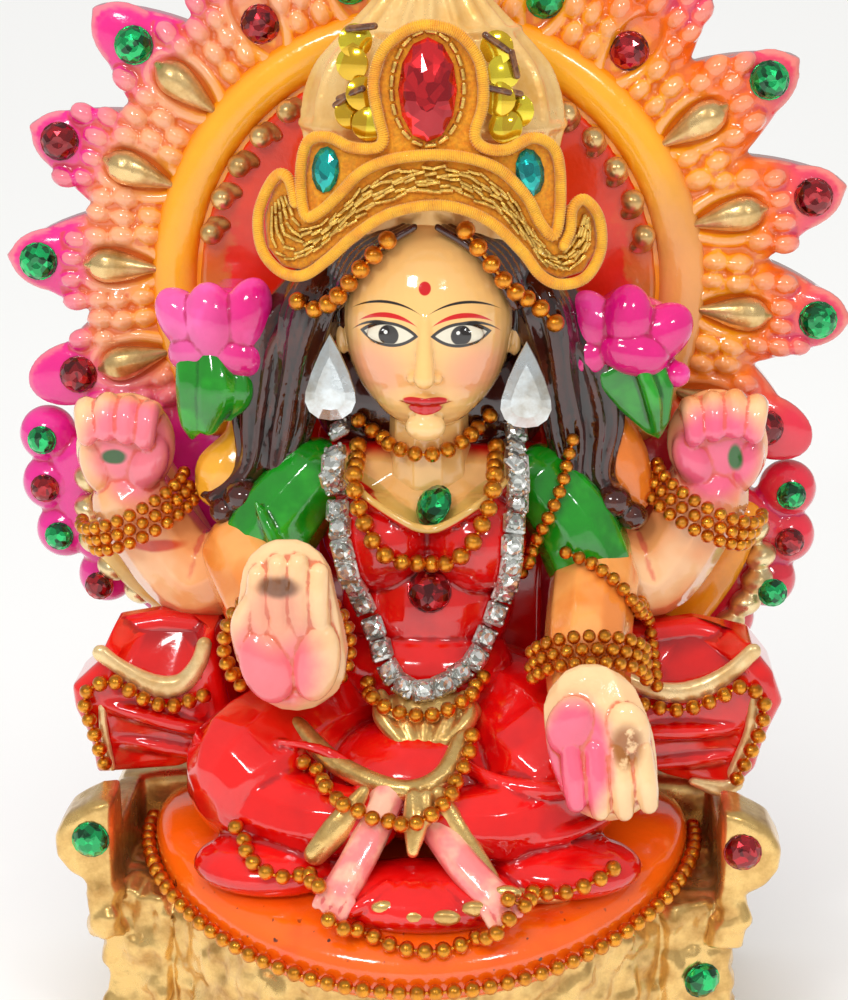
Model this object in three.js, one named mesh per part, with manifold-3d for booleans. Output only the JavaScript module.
// A seated goddess idol with four arms, about 21 cm high, as sold for a home shrine.
// Figure, clothes, lotuses, petalled aureole and throne are one painted casting.
// Glass stones, bead strings, a stone chain, mirror drops and a stitched cloth crown are laid on it.
// Millimetres, +Z up. The figure looks along -Y. The origin is the centre of the underside.

import * as THREE from 'three';
import { mergeVertices } from 'three/addons/utils/BufferGeometryUtils.js';
import Module from 'manifold-3d';

const wasm = await Module();
wasm.setup();

// Driving dimensions

const GAP = 0.4; // between a laid-on piece and what it lies on
const SHORTEST_EDGE = 2.2; // on the casting
const DEG = Math.PI / 180;
const FRONT = new THREE.Vector3(0, -1, 0);

const AUREOLE = {
  height: 138.5, // of its centre
  back: 33,
  face: 24,
  edge: 2,
  ring: 46.5, // middle of the smooth ring
  ringRadius: 3.6,
  knobs: 41.6, // circle of the moulded knobs inside the ring
  knobRadius: 1.9,
  knobStep: 9.5,
  leaves: 13,
  firstLeaf: -22.5, // degrees from +X
  leafStep: 18.1,
  leafTip: 79,
  notch: 63.5, // radius of the hollows between leaves
  seeds: 57,
  stones: 72.5,
};
const FOOT_OF_BACK = 38; // half the width of the back where it meets the seat

const HEAD = { place: [1.2, 1, 137.5], radii: [15, 15.5, 19.5] };
const SKIN_ARM = 8.2; // radius of the arms
const KNEE = 14;
const SEAT = { width: 49.3, front: 48, back: 30, top: 46, rim: 40.5, thickness: 9, droop: 8 };
const THRONE = { side: 57, back: 33, corner: -19, front: 44.5, top: 36 };
const ARM = { front: -24, roll: -12, rail: 8, back: 26 }; // of the throne, front to back
const PLINTH = { height: 9, step: 2 };

const BEAD = { small: 1.25, medium: 1.45, large: 1.75 };
const STONE = { large: 3.4, medium: 3.1, small: 2.6 };
const CHAIN_LINK = 2.4;
const CROWN = { middle: 2, height: 165, front: -15.8, thickness: 2.2, cord: 1.15, bend: 0.011, lean: 0.12 };

const COLOURS = {
  casting: 0xd92a12,
  bead: 0xd98a18,
  felt: 0xf0a010,
  cord: 0xf6bb18,
  bullion: 0xc8901c,
  green: 0x067a28,
  red: 0x8c0a10,
  ruby: 0xd20a16,
  turquoise: 0x08a4a2,
  sequin: 0xd8b410,
  mirror: 0xbfc8cc,
  crystal: 0xcfc59a,
};

// Working with geometry

const at = (x, y, z) => new THREE.Vector3(x, y, z);
const range = (count) => Array.from({ length: count }, (_, number) => number);

function solidOf(geometry) {
  const bare = geometry.index ? geometry.toNonIndexed() : geometry.clone();
  bare.deleteAttribute('normal');
  bare.deleteAttribute('uv');
  const merged = mergeVertices(bare, 1e-4);
  const index = merged.index.array;
  const place = merged.attributes.position.array;
  const kept = [];
  let volume = 0;
  for (let i = 0; i < index.length; i += 3) {
    const [a, b, c] = [index[i], index[i + 1], index[i + 2]];
    if (a === b || b === c || c === a) continue;
    kept.push(a, b, c);
    const corner = [a, b, c].map((n) => new THREE.Vector3().fromArray(place, 3 * n));
    volume += corner[0].dot(corner[1].clone().cross(corner[2]));
  }
  if (volume < 0) kept.reverse();
  return new wasm.Manifold(
    new wasm.Mesh({ numProp: 3, vertProperties: new Float32Array(place), triVerts: new Uint32Array(kept) }),
  );
}

function geometryOf(solid) {
  const mesh = solid.getMesh();
  const geometry = new THREE.BufferGeometry();
  geometry.setAttribute('position', new THREE.BufferAttribute(mesh.vertProperties, 3));
  geometry.setIndex(new THREE.BufferAttribute(mesh.triVerts, 1));
  return geometry;
}

// Joins corners that lie closer than this, wherever the surface stays whole and no face turns over
function thin(geometry, shortest) {
  const attribute = geometry.attributes.position;
  const corners = range(attribute.count).map((i) => at(0, 0, 0).fromBufferAttribute(attribute, i));
  let faces = [];
  for (let i = 0; i < geometry.index.count; i += 3) faces.push([...geometry.index.array.slice(i, i + 3)]);
  const normal = ([a, b, c]) => b.clone().sub(a).cross(c.clone().sub(a));
  let joined = true;
  while (joined) {
    joined = false;
    const around = corners.map(() => []);
    faces.forEach((face) => face.forEach((corner) => around[corner].push(face)));
    const edges = faces.flatMap(([a, b, c]) => [[a, b], [b, c], [c, a]]).filter(([a, b]) => a < b);
    const short = edges
      .map(([a, b]) => [corners[a].distanceTo(corners[b]), a, b])
      .filter(([length]) => length < shortest)
      .sort((one, other) => one[0] - other[0]);
    const turnsOver = (from, to) =>
      around[from].some((face) => {
        if (face.includes(to)) return false;
        const now = normal(face.map((corner) => corners[corner]));
        const then = normal(face.map((corner) => corners[corner === from ? to : corner]));
        return now.dot(then) < 0.2 * now.length() * then.length() || then.length() < 1e-6;
      });
    const settled = new Set();
    for (const [, a, b] of short) {
      const besideA = new Set(around[a].flat());
      const besideB = new Set(around[b].flat());
      const shared = [...besideA].filter((corner) => besideB.has(corner)).length - 2;
      const [from, to] = turnsOver(b, a) ? [a, b] : [b, a];
      if (settled.has(a) || settled.has(b) || shared !== 2 || turnsOver(from, to)) continue;
      [...besideA, ...besideB].forEach((corner) => settled.add(corner));
      around[from].forEach((face) => face.splice(face.indexOf(from), 1, to));
      joined = true;
    }
    faces = faces.filter(([a, b, c]) => a !== b && b !== c && c !== a);
  }
  const thinned = geometry.clone();
  thinned.setIndex(faces.flat());
  return geometryOf(solidOf(thinned));
}

function fuse(geometries) {
  return geometries.map(solidOf).reduce((whole, next) => whole.add(next));
}

function ball(place, radii, { sides = 8, rings = 5, turn = [0, 0, 0] } = {}) {
  const geometry = new THREE.SphereGeometry(1, sides, rings);
  geometry.rotateX(Math.PI / 2);
  geometry.scale(...radii);
  geometry.rotateX(turn[0] * DEG);
  geometry.rotateY(turn[1] * DEG);
  geometry.rotateZ(turn[2] * DEG);
  geometry.translate(...place);
  return geometry;
}

// A turned rod whose rings are then set along a route. A flat value below 1 squashes it front to back.
function along(places, radii, sides, { facing = FRONT, flat = 1, loop = false, roll = 0 } = {}) {
  const last = places.length - 1;
  const profile = radii.map((radius, ring) => new THREE.Vector2(radius, ring));
  if (!loop) {
    profile.unshift(new THREE.Vector2(0, 0));
    profile.push(new THREE.Vector2(0, last));
  }
  const rod = new THREE.LatheGeometry(profile, sides, roll * DEG);
  const frames = places.map((place, ring) => {
    const before = places[ring > 0 ? ring - 1 : loop ? last - 1 : 0];
    const after = places[ring < last ? ring + 1 : loop ? 1 : last];
    const way = after.clone().sub(before).normalize();
    const face = facing.clone().addScaledVector(way, -facing.dot(way)).normalize();
    return { face, side: way.clone().cross(face) };
  });
  const position = rod.attributes.position;
  for (let i = 0; i < position.count; i += 1) {
    const ring = Math.round(position.getY(i));
    const { face, side } = frames[ring];
    const place = places[ring]
      .clone()
      .addScaledVector(side, position.getX(i))
      .addScaledVector(face, position.getZ(i) * flat);
    position.setXYZ(i, place.x, place.y, place.z);
  }
  return rod;
}

// A limb has rounded ends that reach a little past the two places.
function limb(from, to, fromRadius, toRadius, { sides = 7, flat = 1, facing = FRONT } = {}) {
  const start = at(...from);
  const end = at(...to);
  const way = end.clone().sub(start).normalize();
  const places = [
    start.clone().addScaledVector(way, -0.75 * fromRadius),
    start,
    end,
    end.clone().addScaledVector(way, 0.75 * toRadius),
  ];
  const radii = [0.62 * fromRadius, fromRadius, toRadius, 0.62 * toRadius];
  return along(places, radii, sides, { flat, facing });
}

function taperedRoute(points, radii, sides, options) {
  return along(points.map((point) => at(...point)), radii, sides, options);
}

// Plates drawn in the view from the front, x to the right and z up
function frontPlate(shape, back, front, bevel = 0) {
  const geometry = new THREE.ExtrudeGeometry(shape, {
    depth: back - front - 2 * bevel,
    bevelEnabled: bevel > 0,
    bevelThickness: bevel,
    bevelSize: bevel,
    bevelOffset: -bevel,
    bevelSegments: 1,
    curveSegments: 4,
  });
  geometry.rotateX(Math.PI / 2);
  geometry.translate(0, back - bevel, 0);
  return geometry;
}

const shapeOf = (points) => new THREE.Shape(points.map(([x, z]) => new THREE.Vector2(x, z)));
const mirrored = (points) => points.map(([x, ...rest]) => [-x, ...rest]);

function onAureole(degrees, radius, y) {
  const turn = degrees * DEG;
  return at(radius * Math.cos(turn), y, AUREOLE.height + radius * Math.sin(turn));
}

// The aureole

const LEAF_ANGLES = range(AUREOLE.leaves).map((leaf) => AUREOLE.firstLeaf + leaf * AUREOLE.leafStep);
const SEEDLESS = [4, 5, 6, 7, 8]; // the top leaves carry their stone where the others have a gold seed
const SIDE_LOBES = {
  left: [[202.4, 82], [208.5, 86], [214.8, 89], [222.8, 88.5]],
  right: [[-29.8, 82], [-35.2, 87], [-41.2, 90], [-48.4, 90]],
};

// Each leaf is a notch, a shoulder, a blunt tip and a shoulder
function leafOutline(degrees, number) {
  const { leafStep, notch, leafTip, leaves } = AUREOLE;
  const lowest = number === 0 || number === leaves - 1;
  const tip = lowest ? leafTip - 4 : leafTip;
  const shoulder = notch + 0.52 * (tip - notch);
  return [
    [degrees - leafStep / 2, notch],
    [degrees - leafStep * 0.3, shoulder],
    [degrees - leafStep * 0.05, tip - 0.6],
    [degrees + leafStep * 0.05, tip - 0.6],
    [degrees + leafStep * 0.3, shoulder],
  ];
}

function lobeOutline([degrees, radius]) {
  const corners = [[-3, -1.5], [-1.5, 2.8], [1.5, 2.8], [3, -1.5]];
  return corners.map(([turn, out]) => [degrees + turn, radius + out]);
}

function aureolePlate() {
  const turned = [
    ...SIDE_LOBES.right.slice().reverse().flatMap(lobeOutline),
    ...LEAF_ANGLES.flatMap(leafOutline),
    ...SIDE_LOBES.left.flatMap(lobeOutline),
  ];
  const outline = turned.map(([degrees, radius]) => {
    const place = onAureole(degrees, radius, 0);
    return [place.x, place.z];
  });
  outline.push([-46, 66], [-FOOT_OF_BACK, 40], [FOOT_OF_BACK, 40], [46, 65]);
  return frontPlate(shapeOf(outline), AUREOLE.back, AUREOLE.face, AUREOLE.edge);
}

function ring() {
  const places = [];
  for (let degrees = -30; degrees <= 211; degrees += 10.9) {
    places.push(onAureole(degrees, AUREOLE.ring, AUREOLE.face));
  }
  return along(places, places.map(() => AUREOLE.ringRadius), 4, { flat: 1.1 });
}

function pimple(x, z, radius, height) {
  const cone = new THREE.ConeGeometry(radius, height + 1, 4);
  cone.rotateX(Math.PI / 2);
  cone.rotateX(Math.PI);
  cone.translate(x, AUREOLE.face + 0.5 - height / 2, z);
  return cone;
}

function seed(degrees) {
  const reach = [-6.5, 2.6, 6.2];
  const places = reach.map((step) => onAureole(degrees, AUREOLE.seeds + step, AUREOLE.face - 1));
  return along(places, [0.6, 3.1, 1.1], 4, { flat: 0.8 });
}

const LOWER_BANDS = [
  { route: [[-64, 23, 90.5], [-42, 23, 72.5]], width: 3.2 },
  { route: [[58.5, 23, 91], [44, 23, 73.5]], width: 5 },
];
const SHELLS = [
  [-65, 95.5],
  [-64, 88.5],
  [-60, 82.5],
  [-55, 77.8],
  [62.6, 93],
  [64, 87.5],
  [63.3, 82.5],
  [61, 77.5],
];

function aureole() {
  const pieces = [aureolePlate(), ring()];
  LEAF_ANGLES.forEach((degrees, number) => {
    if (!SEEDLESS.includes(number)) pieces.push(seed(degrees));
  });
  for (let degrees = 14; degrees <= 166; degrees += AUREOLE.knobStep) {
    const place = onAureole(degrees, AUREOLE.knobs, 0);
    pieces.push(pimple(place.x, place.z, AUREOLE.knobRadius, 3.2));
  }
  LOWER_BANDS.forEach(({ route, width }) => {
    pieces.push(taperedRoute(route, [width, width * 0.8], 4));
  });
  SHELLS.forEach(([x, z]) => pieces.push(pimple(x, z, 2.6, 2.8)));
  return pieces;
}

// The throne and its seat

function throneBody() {
  const { side, back, corner, front, top } = THRONE;
  const plan = new THREE.Shape();
  plan.moveTo(-side, back);
  plan.lineTo(-side, corner);
  plan.lineTo(-0.8 * side, corner - 4);
  for (let degrees = 208; degrees <= 332; degrees += 24.8) {
    plan.lineTo(side * 0.87 * Math.cos(degrees * DEG), front * Math.sin(degrees * DEG));
  }
  plan.lineTo(0.8 * side, corner - 4);
  plan.lineTo(side, corner);
  plan.lineTo(side, back);
  const options = { depth: top, bevelEnabled: false };
  const body = new THREE.ExtrudeGeometry(plan, options);
  const plinth = new THREE.ExtrudeGeometry(plan, { ...options, depth: PLINTH.height });
  plinth.scale(1 + PLINTH.step / side, 1 + PLINTH.step / front, 1);
  plinth.translate(0, -PLINTH.step * 0.7, 0);
  return [body, plinth];
}

// Each side ends in front in a rolled arm, with a lower rail and shoulder behind it
const THRONE_ROLL = [
  [52, 28],
  [54, 34],
  [54, 54.6],
  [57.5, 54],
  [62.4, 51.2],
  [64.6, 47.4],
  [64.4, 43.6],
  [62, 40.4],
  [58.8, 38.6],
  [58.4, 28],
];
const THRONE_RAIL = [[51.5, 28], [54, 33], [54, 46.5], [58, 46], [60.5, 43], [59.8, 38], [58.4, 28]];
const THRONE_SHOULDER = [
  [30, 30],
  [30, 42],
  [36, 47],
  [43, 48],
  [50, 47.5],
  [57.5, 46],
  [60, 42],
  [57.4, 30],
];

function throneSide(way) {
  const seen = (outline) => shapeOf(outline.map(([x, z]) => [way * x, z]));
  const { front, roll, rail, back } = ARM;
  return [
    frontPlate(seen(THRONE_ROLL), roll, front, 1.2),
    frontPlate(seen(THRONE_RAIL), rail, roll - 2, 1.2),
    frontPlate(seen(THRONE_SHOULDER), back, rail - 1, 2),
  ];
}

function seat() {
  const { width, front, back, top, rim, thickness, droop } = SEAT;
  const profile = [
    [0, top],
    [0.86, top],
    [0.96, top - 1.6],
    [1, rim + 0.5],
    [0.99, rim - 2],
    [0.93, rim - thickness * 0.6],
    [0, rim - thickness * 0.6],
  ].map(([share, z]) => new THREE.Vector2(share * width, z));
  const pad = new THREE.LatheGeometry(profile.reverse(), 22);
  pad.rotateX(Math.PI / 2);
  const place = pad.attributes.position;
  for (let i = 0; i < place.count; i += 1) {
    const ahead = place.getY(i) < 0;
    const y = place.getY(i) * ((ahead ? front : back) / width);
    const sink = ahead ? droop * (y / front) ** 2 : 0;
    place.setXYZ(i, place.getX(i), y, place.getZ(i) - sink);
  }
  return pad;
}

// The figure

function torso() {
  return [
    limb([-20, 7, 105.5], [22, 7, 105], 8, 8, { facing: at(0, 0, 1) }),
    ball([1, 7, 97], [20, 12.5, 15]),
    ball([-7.5, -2.5, 97], [9, 8.5, 9], { sides: 7, rings: 4 }),
    ball([10, -2.5, 97], [9, 8.5, 9], { sides: 7, rings: 4 }),
    ball([1, 4, 84], [16, 13.5, 14]),
    ball([1, -1, 73], [16, 12.5, 10]),
    ball([1, 7, 62], [32, 17, 15]),
    limb([1.2, 5, 110], [1.2, 3, 126], 7.4, 7, {}),
    frontPlate(shapeOf([[-20, 45], [22, 45], [22, 112], [14, 150], [-12, 150], [-20, 112]]), 27, 14),
  ];
}

function head() {
  const [x, y, z] = HEAD.place;
  return [
    ball(HEAD.place, HEAD.radii, { sides: 12, rings: 7 }),
    ball([x, y - 2, z - 9], [11, 11.5, 10.5]),
    taperedRoute([[x, y - 14.6, z + 2], [x, y - 16.6, z - 4.5], [x, y - 15, z - 7]], [1.2, 2.3, 1.6], 4),
    ball([x, y + 6, z + 4], [18.5, 14.5, 19.5], { sides: 10, rings: 5 }),
    ball([x, y + 10, z - 17], [22, 7.5, 15], { sides: 8, rings: 4 }),
  ];
}

// Height and radius
const CAST_CROWN = [
  [155, 18],
  [160, 19.5],
  [171, 22.5],
  [180, 20.5],
  [187, 14.5],
  [193, 9],
  [200, 6.5],
  [206, 0.8],
];

function castCrown() {
  const places = CAST_CROWN.map(([z]) => at(1.8, 5, z));
  return along(places, CAST_CROWN.map(([, radius]) => radius), 10, { flat: 0.62 });
}

const LOCKS = [
  [[-14, 5, 149], [-19, 3, 139], [-22, 4, 127], [-24, 5, 116], [-26, 4, 109]],
  [[-18, 8, 145], [-26, 7, 133], [-29.5, 7, 120], [-31, 6, 109], [-37.5, 6, 103]],
  [[16, 5, 149], [21, 3, 139], [24, 4, 127], [26, 5, 116], [27, 4, 108]],
  [[20, 8, 145], [28, 7, 132], [31.5, 7, 119], [31.5, 6, 108], [36, 6, 102]],
];

function hair() {
  return LOCKS.map((route) => {
    const radii = route.map((_, step) => (step === 0 ? 3.5 : 6.4 - (step * 3.8) / (route.length - 1)));
    return taperedRoute(route, radii, 5);
  });
}

function backArm(way, elbow, wrist, palm, fingers) {
  const shoulder = [way * 22 + 1, 6, 105];
  const sleeve = [way * 30.5 + 0.5, 6, 93];
  return [
    limb(shoulder, sleeve, 8, 8.8, { sides: 6 }),
    limb([sleeve[0], 8, sleeve[2]], elbow, 7, SKIN_ARM, { sides: 6 }),
    limb(elbow, wrist, SKIN_ARM, SKIN_ARM - 0.4, { sides: 8 }),
    ball(palm, [8.8, 5.5, 10.4], { sides: 8, rings: 5 }),
    limb(palm, fingers, 5.5, 4, { sides: 5 }),
    limb([palm[0], 20, palm[2] - 3], [elbow[0], 20, elbow[2]], 5, 5, { sides: 4 }),
  ];
}

function lotus(way, [x, y, z]) {
  return [
    ball([x, y, z], [10.5, 8.2, 7.6], { sides: 8, rings: 4 }),
    ball([x - way * 6.6, y - 1.5, z + 2.8], [5.6, 5.4, 5.8], { sides: 6, rings: 4 }),
    ball([x + way * 5.6, y - 1.5, z + 2], [6, 5.6, 6], { sides: 6, rings: 4 }),
    limb([x - way * 5, y - 1, z - 4], [x - way * 10.5, y, z - 3], 4.2, 1.8, { sides: 5 }),
    limb([x, y + 4, z], [x, 24, z], 6, 6, { sides: 4, facing: at(0, 0, 1) }),
  ];
}

function sepalAndStem(way, x) {
  const sepal = [[x, 4, 130.5], [x + way, 1.5, 125], [x + way * 3, 4, 114]];
  const stem = [[x - way * 4.6, 9, 119], [x - way * 1.4, 8, 106], [x - way * 1.4, 8.5, 102.6]];
  return [taperedRoute(sepal, [5.2, 6.4, 0.8], 5, { flat: 0.55 }), taperedRoute(stem, [2.6, 4.8, 2.6], 5)];
}

function frontArms() {
  return [
    limb([-32, 3, 92], [-23.5, -12, 83.5], 8.6, 9.4),
    limb([-23.5, -12, 83.5], [-22.5, -21, 82], 9.4, 8),
    limb([-21.6, -27, 96.5], [-20.8, -26.5, 83.5], 8.6, 10.2, { sides: 8, flat: 0.44 }),
    limb([31.5, 3, 89], [30, -13, 80.5], 8.2, 7.8),
    limb([30, -13, 80.5], [30.8, -24, 69.5], 7.8, 7.2),
    limb([31, -30.5, 73.6], [33, -32.5, 66.3], 9.4, 9.6, { sides: 8, flat: 0.42 }),
  ];
}

function legs() {
  return [
    limb([-12, 3, 61], [-28, -15, 57.5], 13, KNEE, { sides: 8 }),
    limb([-27, -21, 54.5], [-8, -29, 54], 8.5, 5.5, { sides: 6 }),
    limb([14, 3, 61], [23.5, -14, 58.5], 14, KNEE + 1.2, { sides: 8 }),
    limb([24, -21, 55], [6, -29, 54], 8.5, 5.5, { sides: 6 }),
    ball([0, -18, 57], [15, 13, 10.5]),
    limb([-5, -30, 57], [-12, -40, 46.5], 3.4, 3.2, { sides: 5 }),
    limb([3.5, -32, 54], [14, -40.5, 45.5], 3.6, 3.4, { sides: 5 }),
    ball([1.5, -36, 42.5], [18, 9.8, 6.4], { sides: 10, rings: 4 }),
    ball([-25, -28, 45.5], [14, 10, 5], { rings: 4 }),
    ball([26, -27, 45.5], [14, 10, 5], { rings: 4 }),
  ];
}

const SCARF_WING = {
  left: [
    [-38, 79],
    [-57, 78.5],
    [-59.5, 73],
    [-64.3, 68.5],
    [-64, 64],
    [-61.5, 58],
    [-60.5, 51],
    [-45, 52.5],
    [-34, 58],
  ],
  right: [[38, 78], [60, 78], [64, 73], [66, 67.5], [63, 60], [61.5, 54], [57, 49.2], [45, 52.5], [34, 58]],
};
const SCARF_HEM = {
  left: [[-58, 75.5], [-52.3, 72.8], [-47.2, 69.3], [-42.5, 70.3], [-38.5, 77]],
  right: [[58, 77.5], [55.5, 73], [50.5, 69.8], [43.5, 69.4], [38, 72]],
};

const SCARF_ROOT = [[30, 60], [50, 60], [50, 76], [30, 80]];

function scarfWings() {
  return ['left', 'right'].flatMap((side) => {
    const hem = SCARF_HEM[side].map(([x, z]) => at(x, -3.6, z));
    return [
      frontPlate(shapeOf(SCARF_WING[side]), 12, -4, 2.5),
      along(hem, hem.map(() => 1.9), 4),
      frontPlate(shapeOf(SCARF_ROOT.map(([x, z]) => [side === 'left' ? -x : x, z])), 26, 11),
    ];
  });
}

function pleatsAndBands() {
  const girdle = [[-20.5, -20, 67.5], [-13, -26, 62.5], [-2, -31.5, 60.5], [5, -29, 62.5], [8.5, -24, 67.5]];
  const flap = shapeOf([[-8, 71.5], [12, 72], [10, 66], [4, 64], [-1, 64.5], [-5, 68]]);
  return [
    taperedRoute(girdle, girdle.map(() => 1.8), 4),
    frontPlate(flap, -6, -15.2, 0.8),
  ];
}

function casting() {
  return fuse([
    ...aureole(),
    ...throneBody(),
    ...throneSide(-1),
    ...throneSide(1),
    seat(),
    ...torso(),
    ...head(),
    castCrown(),
    ...hair(),
    ...backArm(-1, [-43, 12, 85.5], [-54, 11, 100], [-55, 8.5, 111.5], [-47.5, 8, 119]),
    ...backArm(1, [42, 12, 87], [52, 11, 102.5], [53.5, 8.5, 114], [46, 8, 121]),
    ...lotus(-1, [-36, 9, 134.8]),
    ...lotus(1, [37, 9, 134]),
    ...sepalAndStem(-1, -37),
    ...sepalAndStem(1, 38),
    ...frontArms(),
    ...legs(),
    ...scarfWings(),
    ...pleatsAndBands(),
  ]);
}

const CASTING = thin(geometryOf(casting()), SHORTEST_EDGE);

// Laying pieces on the casting

const castingMesh = new THREE.Mesh(CASTING, new THREE.MeshBasicMaterial({ side: THREE.DoubleSide }));
const probe = new THREE.Raycaster();
const FAR = 200;
const BACK = at(0, 1, 0);

function touchAt(from, way) {
  probe.set(from, way);
  const [hit] = probe.intersectObject(castingMesh, false);
  return hit ? hit.distance : FAR * 2;
}

// Where a ball of this radius comes to rest on the casting, keeping the gap, when it comes from the plane
// at this depth. A depth behind a hand or foot lets a string pass behind it.
function resting(place, radius, depth) {
  const reach = radius + GAP;
  let y = depth + touchAt(at(place.x, depth, place.z), BACK) - reach;
  for (const share of [0.5, 0.9]) {
    for (let spoke = 0; spoke < 8; spoke += 1) {
      const turn = (spoke * Math.PI) / 4;
      const off = at(
        place.x + Math.cos(turn) * share * reach,
        depth,
        place.z + Math.sin(turn) * share * reach,
      );
      y = Math.min(y, depth + touchAt(off, BACK) - reach * Math.sqrt(1 - share * share));
    }
  }
  return at(place.x, y, place.z);
}

// Places a bead's breadth apart on the casting, along a route seen from the front
function laid(route, radius, depth = -FAR) {
  const seen = new THREE.CatmullRomCurve3(route.map(([x, z]) => at(x, 0, z)), false, 'centripetal');
  const steps = Math.ceil(seen.getLength() / (radius * 0.8));
  const touched = seen.getSpacedPoints(steps).map((place) => resting(place, radius, depth));
  const line = new THREE.CatmullRomCurve3(touched, false, 'centripetal');
  const beads = Math.max(2, Math.round(line.getLength() / (2 * radius)));
  return line.getSpacedPoints(beads - 1).map((place) => {
    const free = resting(place, radius, depth);
    return free.y < place.y ? free : place;
  });
}

// A string of beads is a rod that swells at each bead and narrows between them
function beadString(places, radius, sides = 3) {
  const rings = [];
  const radii = [];
  places.forEach((place, bead) => {
    if (bead > 0) {
      rings.push(places[bead - 1].clone().lerp(place, 0.5));
      radii.push(radius * 0.45);
    }
    rings.push(place);
    radii.push(radius);
  });
  return along(rings, radii, sides);
}

// A faceted stone: flat back, bevel and table, set square to the surface under it
function stone(radius, height, sides = 8) {
  const profile = [[0, 0], [radius, 0], [radius * 0.52, height], [0, height]];
  return new THREE.LatheGeometry(profile.map(([r, y]) => new THREE.Vector2(r, y)), sides);
}

// Glued on a face that looks straight ahead
function seatedFlat(geometry, [x, z], radius, depth) {
  const turns = range(12).map((spoke) => (spoke * Math.PI) / 6);
  const surface = turns.map((turn) => {
    const from = at(x + radius * Math.cos(turn), depth, z + radius * Math.sin(turn));
    return depth + touchAt(from, BACK);
  });
  geometry.applyQuaternion(new THREE.Quaternion().setFromUnitVectors(at(0, 1, 0), FRONT));
  geometry.translate(x, Math.min(...surface) - GAP, z);
  return geometry;
}

// Glued square to whatever surface is under it
function seated(geometry, [x, z], radius, depth = -FAR) {
  const spokes = [90, 210, 330].map((degrees) => {
    const off = at(x + radius * Math.cos(degrees * DEG), depth, z + radius * Math.sin(degrees * DEG));
    return off.addScaledVector(BACK, touchAt(off, BACK));
  });
  const normal = new THREE.Plane().setFromCoplanarPoints(...spokes).normal;
  if (normal.y > 0) normal.negate();
  const middle = spokes[0].clone().add(spokes[1]).add(spokes[2]).divideScalar(3);
  let lift = GAP;
  for (let spoke = 0; spoke < 12; spoke += 1) {
    for (const share of [0, 0.35, 0.7, 1.1]) {
      const turn = (spoke * Math.PI) / 6;
      const off = at(x + share * radius * Math.cos(turn), depth, z + share * radius * Math.sin(turn));
      const surface = off.addScaledVector(BACK, touchAt(off, BACK));
      lift = Math.max(lift, surface.sub(middle).dot(normal) + GAP);
    }
  }
  geometry.applyQuaternion(new THREE.Quaternion().setFromUnitVectors(at(0, 1, 0), normal));
  const place = middle.addScaledVector(normal, lift);
  geometry.translate(place.x, place.y, place.z);
  return geometry;
}

// The cloth crown is drawn flat, then bent round the head and leaned back

const CROWN_EDGE = [
  [5.6, 188.2],
  [9.4, 184.6],
  [10.7, 179.6],
  [9.9, 174],
  [8.4, 169.6],
  [13, 168.3],
  [17.3, 171.3],
  [20.6, 170.4],
  [22.2, 166],
  [22.4, 156.4],
];
const CROWN_WING = [
  [24.2, 161.4],
  [26.8, 163.2],
  [29.3, 160],
  [29.8, 154],
  [27.9, 149.4],
  [24.4, 147.3],
  [20.6, 148.6],
  [16.6, 152.6],
  [10.5, 156.9],
];
const CROWN_TOP = [0, 189.6];
const CROWN_BROW = [0, 159.4];
const CROWN_ARC = [[18.6, 160], [12.6, 164.8], [6.4, 167.2]];

function bent(geometry) {
  const place = geometry.attributes.position;
  for (let i = 0; i < place.count; i += 1) {
    const [x, y, z] = [place.getX(i), place.getY(i), place.getZ(i)];
    place.setY(i, y + CROWN.bend * x * x + CROWN.lean * (z - 158));
  }
  geometry.translate(CROWN.middle, CROWN.front, 0);
  return geometry;
}

// Cut into strips, so that a flat plate can follow the bend
function strips(plate) {
  const width = 6;
  return range(12).map((strip) => {
    const room = new THREE.BoxGeometry(width, 60, 200);
    room.translate((strip - 5.5) * width, 0, 150);
    return solidOf(plate).intersect(solidOf(room));
  });
}

const bentPlate = (plate) =>
  geometryOf(
    strips(plate)
      .filter((strip) => !strip.isEmpty())
      .map((strip) => solidOf(bent(geometryOf(strip))))
      .reduce((whole, next) => whole.add(next)),
  );

const inset = (points, share) =>
  points.map(([x, z]) => [x * share, CROWN.height + (z - CROWN.height) * share]);

function crownFelt() {
  const half = [...CROWN_EDGE, ...CROWN_WING];
  const outline = [CROWN_TOP, ...half, CROWN_BROW, ...mirrored(half).reverse()];
  return bentPlate(frontPlate(shapeOf(inset(outline, 0.955)), CROWN.thickness, 0));
}

function crownCord(points, loop, height) {
  const curve = new THREE.CatmullRomCurve3(points.map(([x, z]) => at(x, height, z)), loop, 'centripetal');
  const places = curve.getSpacedPoints(Math.round(curve.getLength() / 4.2));
  return bent(along(places, places.map(() => CROWN.cord), 4, { loop, roll: 45 }));
}

const CORD_LIFT = -(CROWN.cord + GAP);

function upperCord() {
  const side = inset(CROWN_EDGE.slice(0, -1), 0.93);
  const foot = [20.2, 160];
  const arc = [...mirrored(CROWN_ARC), ...[...CROWN_ARC].reverse()];
  const lower = arc.reverse().map(([x, z]) => [x * 0.92, z]);
  const round = [[0, 188.2], ...side, foot, ...lower, ...mirrored([foot]), ...mirrored(side).reverse()];
  return crownCord(round, true, CORD_LIFT);
}

function crescentCord() {
  const side = inset(CROWN_WING, 0.935);
  const half = [[23.2, 159], ...side];
  return crownCord([...half, [0, 160.8], ...mirrored(half).reverse()], false, CORD_LIFT);
}

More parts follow.
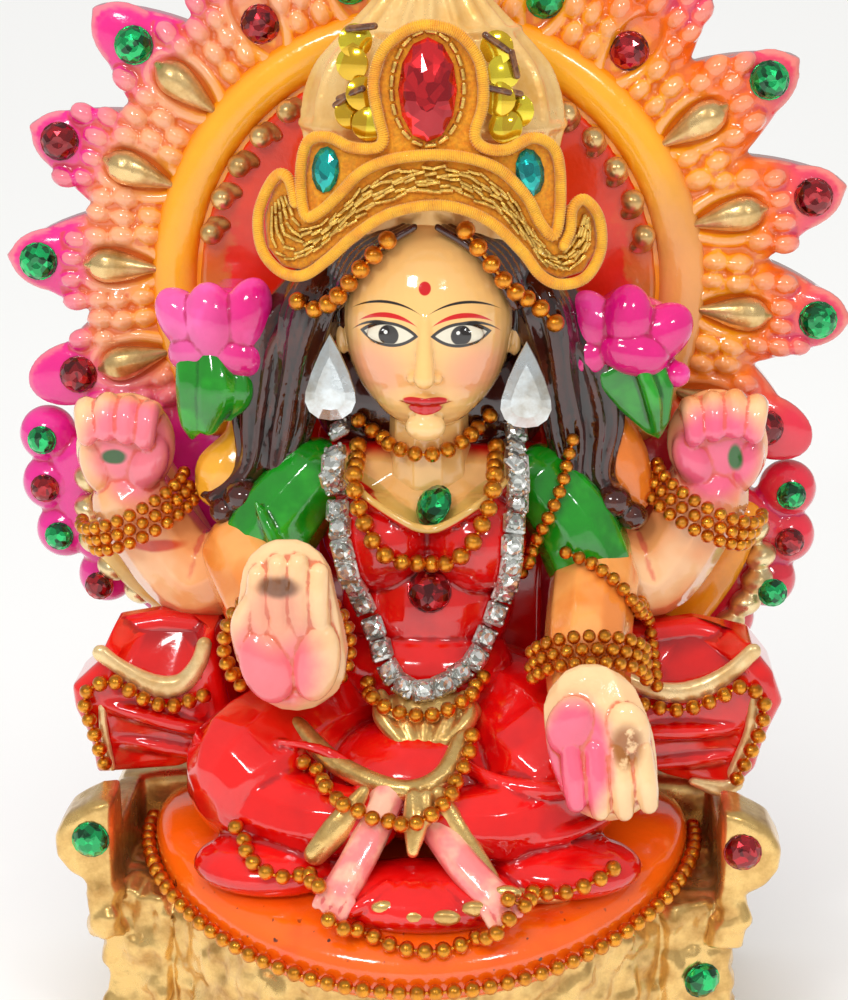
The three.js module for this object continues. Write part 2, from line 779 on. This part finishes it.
function crescentFill() {
  const upper = [[19, 157.8], [12.6, 162], [6.4, 163.9], [0, 164.6]];
  const lower = [[26.6, 155], [24.6, 151.6], [21.4, 151.6], [17, 155.4], [10.8, 159.6]];
  const half = [...upper.slice().reverse(), ...lower];
  const outline = [...half, [0, 162.2], ...mirrored(half).reverse().slice(0, -1)];
  return bentPlate(frontPlate(shapeOf(outline), -GAP, -GAP - 1));
}

function sequins(way) {
  const places = [[12.8, 186.2], [14.2, 182], [12.6, 178], [15, 174.6], [12, 172.4]];
  const discs = places.map(([x, z], number) => {
    const disc = new THREE.CylinderGeometry(2.8, 2.8, 0.6, 7);
    disc.translate(way * x, CROWN.thickness + GAP + 0.5 + 0.1 * number, z);
    return disc;
  });
  return bent(geometryOf(fuse(discs)));
}

function marquise(halfWidth, halfHeight, thickness, x, z) {
  const geometry = stone(1, thickness, 12);
  geometry.scale(halfWidth, 1, halfHeight);
  geometry.rotateX(Math.PI);
  geometry.translate(x, -GAP, z);
  return bent(geometry);
}

function mirrorDrop(x, z) {
  const outline = new THREE.Shape();
  outline.moveTo(0, 7.6);
  outline.quadraticCurveTo(4.9, -0.5, 4.5, -3.6);
  outline.quadraticCurveTo(3.4, -7.6, 0, -7.6);
  outline.quadraticCurveTo(-3.4, -7.6, -4.5, -3.6);
  outline.quadraticCurveTo(-4.9, -0.5, 0, 7.6);
  const geometry = frontPlate(outline, 0, -2.2, 0.7);
  geometry.translate(x, -6.4, z);
  return geometry;
}

// Strings and stones, by their place as seen from the front

const STRINGS = {
  hair_beads_left: {
    route: [[-5.2, 153], [-9.8, 148], [-14.5, 142.2], [-18.5, 139.5], [-21.5, 140.8]],
    size: 'large',
  },
  hair_beads_right: {
    route: [[8, 154.6], [12, 149.5], [16, 144.2], [20.5, 140.5], [23.5, 137.5]],
    size: 'large',
  },
  choker_beads: {
    route: [[-11.5, 117.8], [-6.8, 114.9], [2, 113.6], [9.4, 116.4], [12.2, 119]],
    size: 'medium',
  },
  necklace_beads: {
    route: [
      [-11.5, 113.5],
      [-11.2, 108],
      [-9.4, 102.4],
      [-5.6, 97.2],
      [2, 94.8],
      [7.8, 97.6],
      [11.4, 103.4],
      [13, 109],
      [13.4, 113.5],
    ],
    size: 'large',
  },
  sash_beads: { route: [[27, 115.5], [25, 107.5], [20.6, 97], [18.2, 90]], size: 'small' },
  arm_beads: {
    route: [[26, 96], [33, 93.4], [37.6, 89], [40.6, 83], [42.2, 77], [42.8, 71.5]],
    size: 'small',
    depth: -12,
  },
  waist_beads: {
    route: [[-9, 73.4], [-3.5, 71.2], [2.7, 70.8], [8.4, 72.8], [11.6, 74.6]],
    size: 'medium',
    depth: -23,
  },
  girdle_beads: {
    route: [[-19.5, 63.4], [-12.4, 60.2], [-3, 57.4], [4.6, 59.8], [8.8, 64.8], [9.9, 69]],
    size: 'medium',
  },
  knee_beads_left: {
    route: [[-31, 53], [-27, 49.3], [-21.4, 47.6], [-15.4, 48.4]],
    size: 'medium',
  },
  knee_beads_right: {
    route: [[16.6, 47.4], [20, 45.8], [25, 45.4], [31.4, 47.3], [34.5, 48.6]],
    size: 'medium',
  },
  hem_beads: {
    route: [[-13.6, 43.4], [-8.2, 40.6], [-1.2, 38.8], [6.1, 38.6], [12.8, 40.6], [16.8, 44.2]],
    size: 'medium',
  },
  scarf_beads_left: {
    route: [
      [-39.5, 68.2],
      [-45.4, 66],
      [-50.7, 67.6],
      [-56, 70.6],
      [-61, 68.6],
      [-61.2, 64.6],
      [-59.6, 59.6],
      [-58.2, 54.6],
    ],
    size: 'medium',
    depth: -11,
  },
  scarf_beads_right: {
    route: [
      [40.5, 67.6],
      [47, 66.8],
      [54, 69.4],
      [58.5, 71.6],
      [62, 69],
      [62, 64.7],
      [60.2, 59.5],
      [57.8, 53.8],
    ],
    size: 'medium',
    depth: -11,
  },
};

// Rows of beads round a wrist, pushed together into one ribbed band about the way that the arm points.
// Where the wrist runs into the casting the band is open: it is kept from one height to the other.
const BANGLES = {
  bangle_back_left: {
    centre: [-53.1, 11, 98.8],
    way: [-0.5, -0.1, 1],
    radius: 9.2,
    rows: 3,
    keep: [-20, 0],
  },
  bangle_back_right: {
    centre: [51.4, 10.8, 101.6],
    way: [0.5, -0.1, 1],
    radius: 9.2,
    rows: 3,
    keep: [-20, 0],
  },
  bangle_front_left: {
    centre: [-22.8, -18, 82.3],
    way: [0.1, -1, -0.2],
    radius: 9.4,
    rows: 2,
    keep: [-7.5, 20],
  },
  bangle_front_right: {
    centre: [30.1, -14.9, 77.8],
    way: [0.05, -0.62, -0.78],
    radius: 8.5,
    rows: 3,
    keep: [0, 20],
  },
};

function bangle({ centre, way, radius, rows, keep: [low, high] }) {
  const inner = radius + GAP;
  const size = BEAD.small;
  const profile = [[0, -rows * size], [inner + 0.3 * size, -rows * size]];
  range(rows).forEach((row) => {
    const middle = (2 * row + 1 - rows) * size;
    if (row > 0) profile.push([inner + size, middle - size]);
    profile.push([inner + 2 * size, middle]);
  });
  profile.push([inner + 0.3 * size, rows * size], [0, rows * size]);
  const sides = 14;
  const whole = new THREE.LatheGeometry(profile.map(([r, y]) => new THREE.Vector2(r, y)), sides);
  const wrist = new THREE.CylinderGeometry(inner, inner, 3 * rows * size, sides);
  const kept = new THREE.BoxGeometry(50, 50, high - low);
  kept.translate(0, 0, -(high + low) / 2);
  const band = geometryOf(solidOf(whole).subtract(solidOf(wrist)).intersect(solidOf(kept)));
  const axis = at(...way).normalize();
  const side = at(1, 0, 0).addScaledVector(axis, -axis.x).normalize();
  band.applyMatrix4(new THREE.Matrix4().makeBasis(side, axis, side.clone().cross(axis)));
  band.translate(...centre);
  return band;
}

// The rim of the seat, just outside the pad
function rimPlaces() {
  const reach = BEAD.medium + GAP;
  const places = [];
  const { width, front, back, rim, droop } = SEAT;
  for (let degrees = 176; degrees <= 364; degrees += 1) {
    const turn = degrees * DEG;
    const depth = Math.sin(turn) < 0 ? front : back;
    const y = (depth + reach) * Math.sin(turn);
    places.push(at((width + reach) * Math.cos(turn), y, rim - (y < 0 ? droop * (y / front) ** 2 : 0)));
  }
  const line = new THREE.CatmullRomCurve3(places);
  return line.getSpacedPoints(Math.round(line.getLength() / (2 * BEAD.medium)));
}

const CHAIN = [
  [-15.4, 116.5],
  [-15.4, 110],
  [-14.6, 103],
  [-13, 94],
  [-10.6, 87],
  [-7.6, 81],
  [-4.5, 75.6],
  [2, 74.2],
  [9.6, 77.4],
  [13.6, 84],
  [16.2, 91.5],
  [16.8, 100],
  [17.4, 108],
  [17, 116.5],
];

const STONES_ON_LOBES = { left: 4, right: 3 };
const LEAF_STONES = { 0: 68.5, 4: 56.5, 5: 56.5, 6: 56.5, 7: 56.5, 8: 56.5, 9: 69, 12: 68 };

function aureoleStones() {
  const leaves = LEAF_ANGLES.map((degrees, leaf) => ({
    name: `leaf_stone_${leaf + 1}`,
    place: onAureole(degrees, LEAF_STONES[leaf] ?? AUREOLE.stones, 0),
    size: STONE.large,
    colour: leaf % 2 ? 'green' : 'red',
  }));
  const lobes = Object.entries(SIDE_LOBES).flatMap(([side, list]) =>
    list.slice(0, STONES_ON_LOBES[side]).map(([degrees, radius], lobe) => ({
      name: `lobe_stone_${side}_${lobe + 1}`,
      place: onAureole(degrees, radius - 2.6, 0),
      size: STONE.small,
      colour: lobe % 2 ? 'red' : 'green',
    })),
  );
  return [...leaves, ...lobes];
}

const idol = new THREE.Group();

function show(name, geometry, colour, roughness = 0.3, metalness = 0) {
  const material = new THREE.MeshStandardMaterial({ color: COLOURS[colour], roughness, metalness });
  const mesh = new THREE.Mesh(geometryOf(solidOf(geometry)), material);
  mesh.name = name;
  idol.add(mesh);
}

const GOLD = [0.3, 0.8];
const GLASS = [0.08, 0];
const THREAD = [0.8, 0];

show('idol_casting', CASTING, 'casting');

Object.entries(STRINGS).forEach(([name, { route, size, depth }]) => {
  show(name, beadString(laid(route, BEAD[size], depth), BEAD[size]), 'bead', ...GOLD);
});
Object.entries(BANGLES).forEach(([name, sizes]) => show(name, bangle(sizes), 'bead', ...GOLD));
show('seat_rim_beads', beadString(rimPlaces(), BEAD.medium), 'bead', ...GOLD);
show('stone_chain', beadString(laid(CHAIN, CHAIN_LINK, -19), CHAIN_LINK), 'crystal', ...GLASS);

aureoleStones().forEach(({ name, place, size, colour }) => {
  const glued = seatedFlat(stone(size, size * 0.6), [place.x, place.z], size, AUREOLE.face - 6);
  show(name, glued, colour, ...GLASS);
});
show('pendant_stone', seated(stone(3.8, 2), [2.6, 104.6], 3.8), 'green', ...GLASS);
show('bodice_stone', seated(stone(3.8, 2), [1.8, 89.4], 3.8), 'red', ...GLASS);
show('throne_stone_left', seatedFlat(stone(STONE.medium, 1.8), [-57.8, 47.4], 3.6, -FAR), 'green', ...GLASS);
show('throne_stone_right', seatedFlat(stone(STONE.medium, 1.8), [57.6, 47.2], 3.6, -FAR), 'red', ...GLASS);
show('throne_stone_low', seated(stone(STONE.medium, 1.8), [51.5, 20.8], STONE.medium), 'green', ...GLASS);

show('mirror_drop_left', mirrorDrop(-15.6, 128.2), 'mirror', 0.1, 0.9);
show('mirror_drop_right', mirrorDrop(18.6, 127.2), 'mirror', 0.1, 0.9);

show('crown_felt', crownFelt(), 'felt', ...THREAD);
show('crown_upper_cord', upperCord(), 'cord', ...THREAD);
show('crown_crescent_cord', crescentCord(), 'cord', ...THREAD);
show('crown_bullion', crescentFill(), 'bullion', ...GOLD);
show('crown_ruby', marquise(4.8, 8.7, 2.6, 0, 178.6), 'ruby', ...GLASS);
show('crown_turquoise_left', marquise(2.3, 3.7, 1.6, -16.9, 166), 'turquoise', ...GLASS);
show('crown_turquoise_right', marquise(2.3, 3.7, 1.6, 16.9, 166), 'turquoise', ...GLASS);
show('crown_sequins_left', sequins(-1), 'sequin', ...GOLD);
show('crown_sequins_right', sequins(1), 'sequin', ...GOLD);

export default idol;
